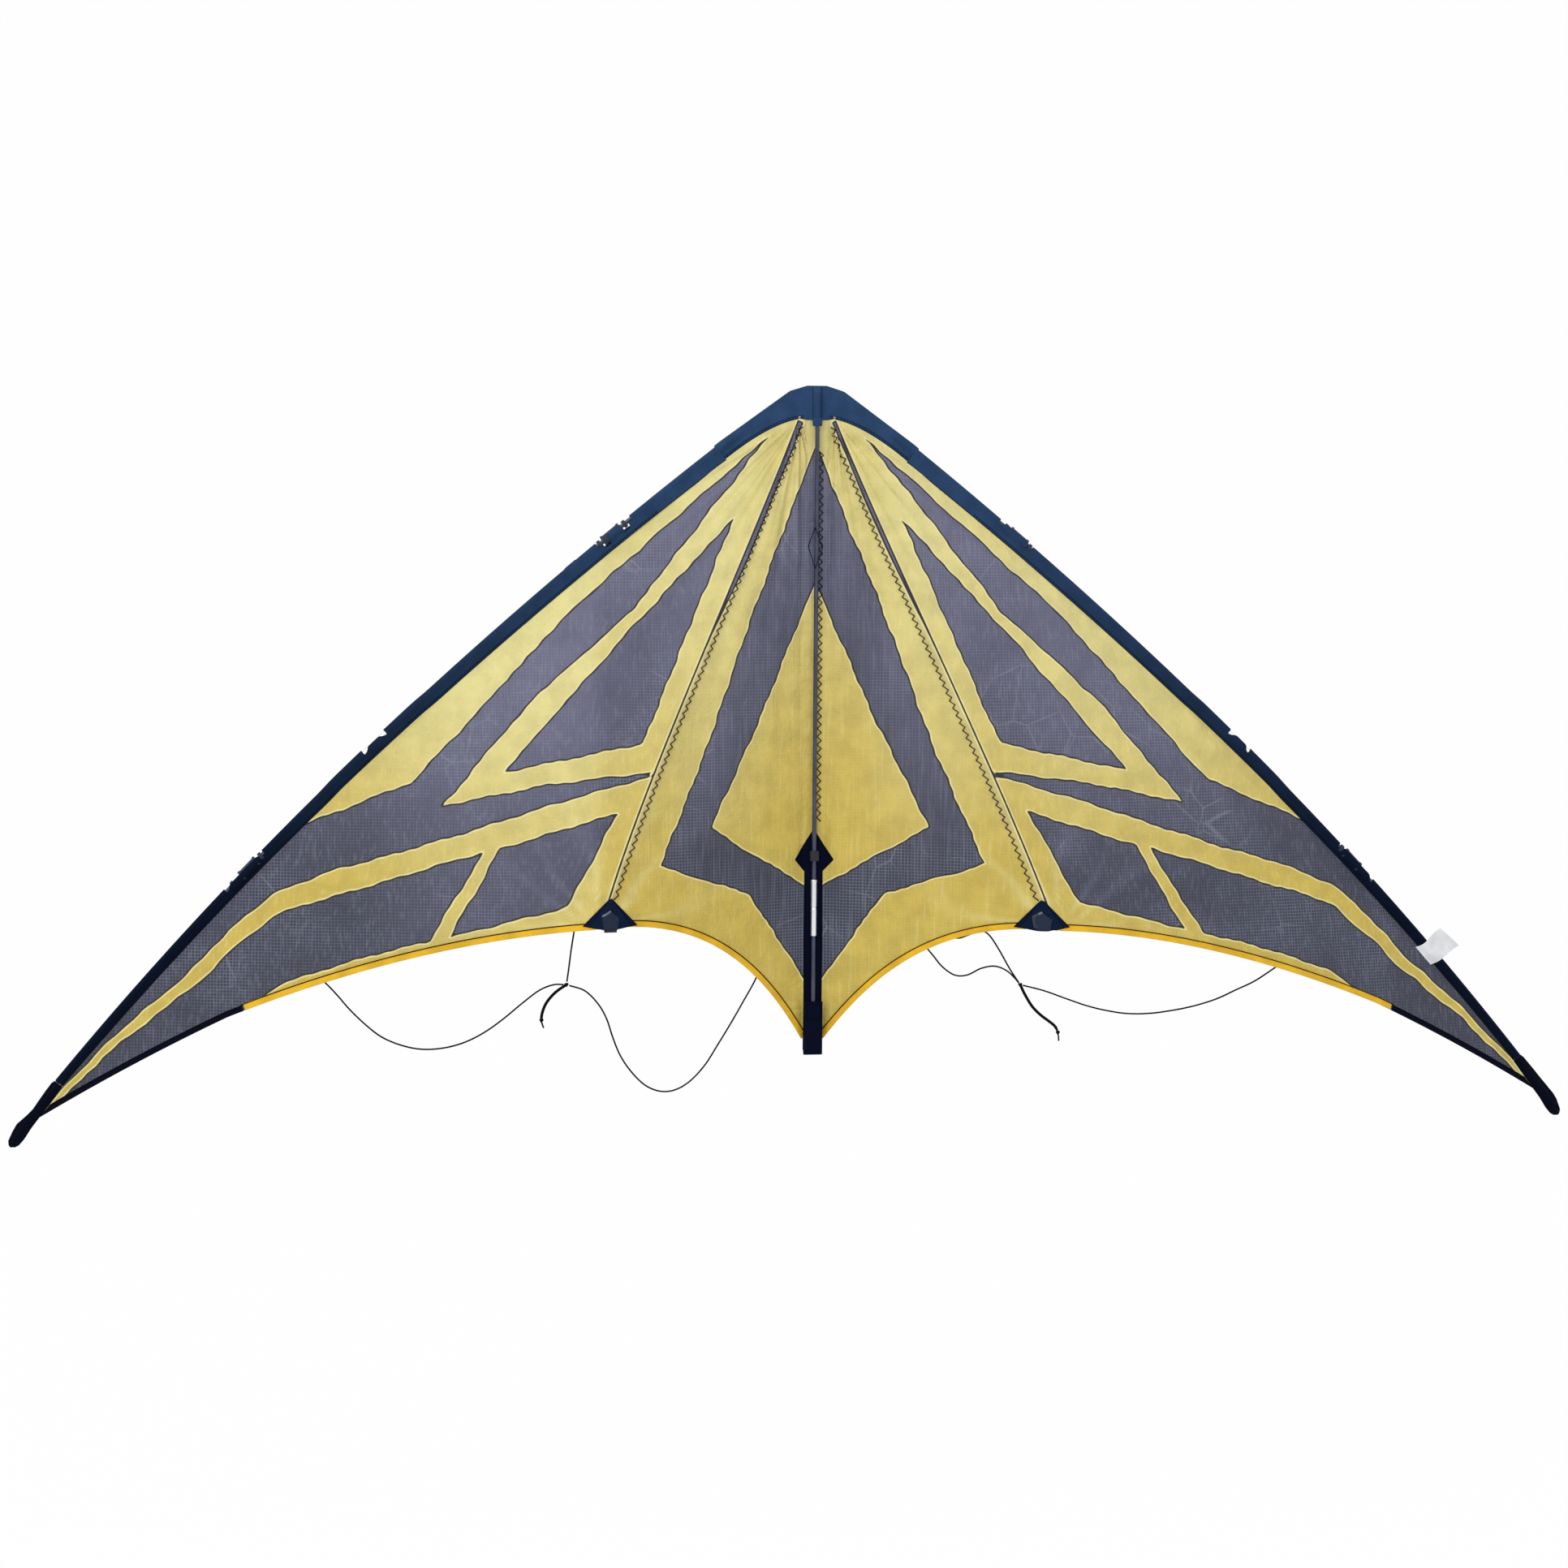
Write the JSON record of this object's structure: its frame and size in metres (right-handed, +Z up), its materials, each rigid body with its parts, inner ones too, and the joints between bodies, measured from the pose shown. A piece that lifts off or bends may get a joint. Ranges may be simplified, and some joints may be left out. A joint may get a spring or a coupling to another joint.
{
  "type": "delta kite",
  "caption": "Two-line delta kite with a banded two-colour sail, webbing-bound rod frame, metal ferrules, standoffs and a corded bridle.",
  "frame": {"origin": "top edge of the nose webbing on the centre line, where the kite is hung for storage", "axes": "+X across the span to the right as seen from behind, +Y towards the pilot (bridle side), +Z up along the spine"},
  "size_m": [1.4464, 0.1213, 0.6796],
  "materials": {
    "fibreglass": "smooth pultruded rod",
    "ferrule_metal": "satin",
    "navy_webbing": "tightly woven polyester webbing",
    "navy_tape": "plain weave tape",
    "printed_sailcloth": "thin ripstop, printed in slate bands",
    "gold_tape": "folded hem tape with dark stitching",
    "black_plastic": "moulded, satin",
    "black_rubber": "soft matt vinyl",
    "bridle_cord": "braided line",
    "white_tab": "plain woven, blank"
  },
  "bodies": {
    "center": {"spine_upper_rod": "fibreglass", "spine_lower_rod": "fibreglass", "spine_ferrule": "ferrule_metal", "spine_cap": "black_rubber", "center_tee": "black_plastic", "center_seam": "printed_sailcloth", "keel_patch": "navy_tape", "nose_tab": "navy_webbing", "upper_spreader": "fibreglass", "spreader_keeper": "navy_webbing"},
    "left_wing": {"left_edge_upper_rod": "fibreglass", "left_edge_lower_rod": "fibreglass", "left_edge_ferrule": "ferrule_metal", "left_edge_sleeve": "navy_webbing", "left_nose_web": "navy_webbing", "left_tip_web": "navy_webbing", "left_tip_cap": "black_rubber", "left_upper_connector": "black_plastic", "left_lower_connector": "black_plastic", "left_stop_clips": "black_plastic", "left_inner_sail": "printed_sailcloth", "left_outer_sail": "printed_sailcloth", "left_hem": "gold_tape", "left_tip_tape": "navy_tape", "left_standoff_patch": "navy_tape", "left_standoff_pocket": "black_plastic", "left_lower_spreader": "fibreglass", "left_bridle_upper_leg": "bridle_cord", "left_bridle_lower_leg": "bridle_cord", "left_bridle_inner_leg": "bridle_cord", "left_tow_loop": "bridle_cord"},
    "right_wing": {"right_edge_upper_rod": "fibreglass", "right_edge_lower_rod": "fibreglass", "right_edge_ferrule": "ferrule_metal", "right_edge_sleeve": "navy_webbing", "right_nose_web": "navy_webbing", "right_tip_web": "navy_webbing", "right_tip_cap": "black_rubber", "right_upper_connector": "black_plastic", "right_lower_connector": "black_plastic", "right_stop_clips": "black_plastic", "right_inner_sail": "printed_sailcloth", "right_outer_sail": "printed_sailcloth", "right_hem": "gold_tape", "right_tip_tape": "navy_tape", "right_standoff_patch": "navy_tape", "right_standoff_pocket": "black_plastic", "right_lower_spreader": "fibreglass", "right_bridle_upper_leg": "bridle_cord", "right_bridle_lower_leg": "bridle_cord", "right_bridle_inner_leg": "bridle_cord", "right_tow_loop": "bridle_cord", "care_tab": "white_tab"},
    "left_standoff": {"left_standoff_clip": "black_rubber", "left_standoff_rod": "fibreglass"},
    "right_standoff": {"right_standoff_clip": "black_rubber", "right_standoff_rod": "fibreglass"},
    "tail_strap": {"tail_strap": "navy_webbing"}
  },
  "joints": [
    {"name": "left_wing_fold", "type": "hinge", "parent": "center", "child": "left_wing", "pos_m": [-0.0095, 0.0005, 0], "axis": [0, 0, 1], "range_deg": [0, 60]},
    {"name": "right_wing_fold", "type": "hinge", "parent": "center", "child": "right_wing", "pos_m": [0.0095, 0.0005, 0], "axis": [0, 0, -1], "range_deg": [0, 60]},
    {"name": "left_standoff_swing", "type": "hinge", "parent": "left_wing", "child": "left_standoff", "pos_m": [-0.19512, 0.00409, -0.43146], "axis": [0.9996, 0.0234, 0.0146], "range_deg": [0, 65]},
    {"name": "right_standoff_swing", "type": "hinge", "parent": "right_wing", "child": "right_standoff", "pos_m": [0.19512, 0.00409, -0.43146], "axis": [0.9996, -0.0234, -0.0146], "range_deg": [0, 65]},
    {"name": "tail_strap_flap", "type": "hinge", "parent": "center", "child": "tail_strap", "pos_m": [0, 0.0005, -0.6132], "axis": [1, 0, 0], "range_deg": [0, 150]}
  ]
}
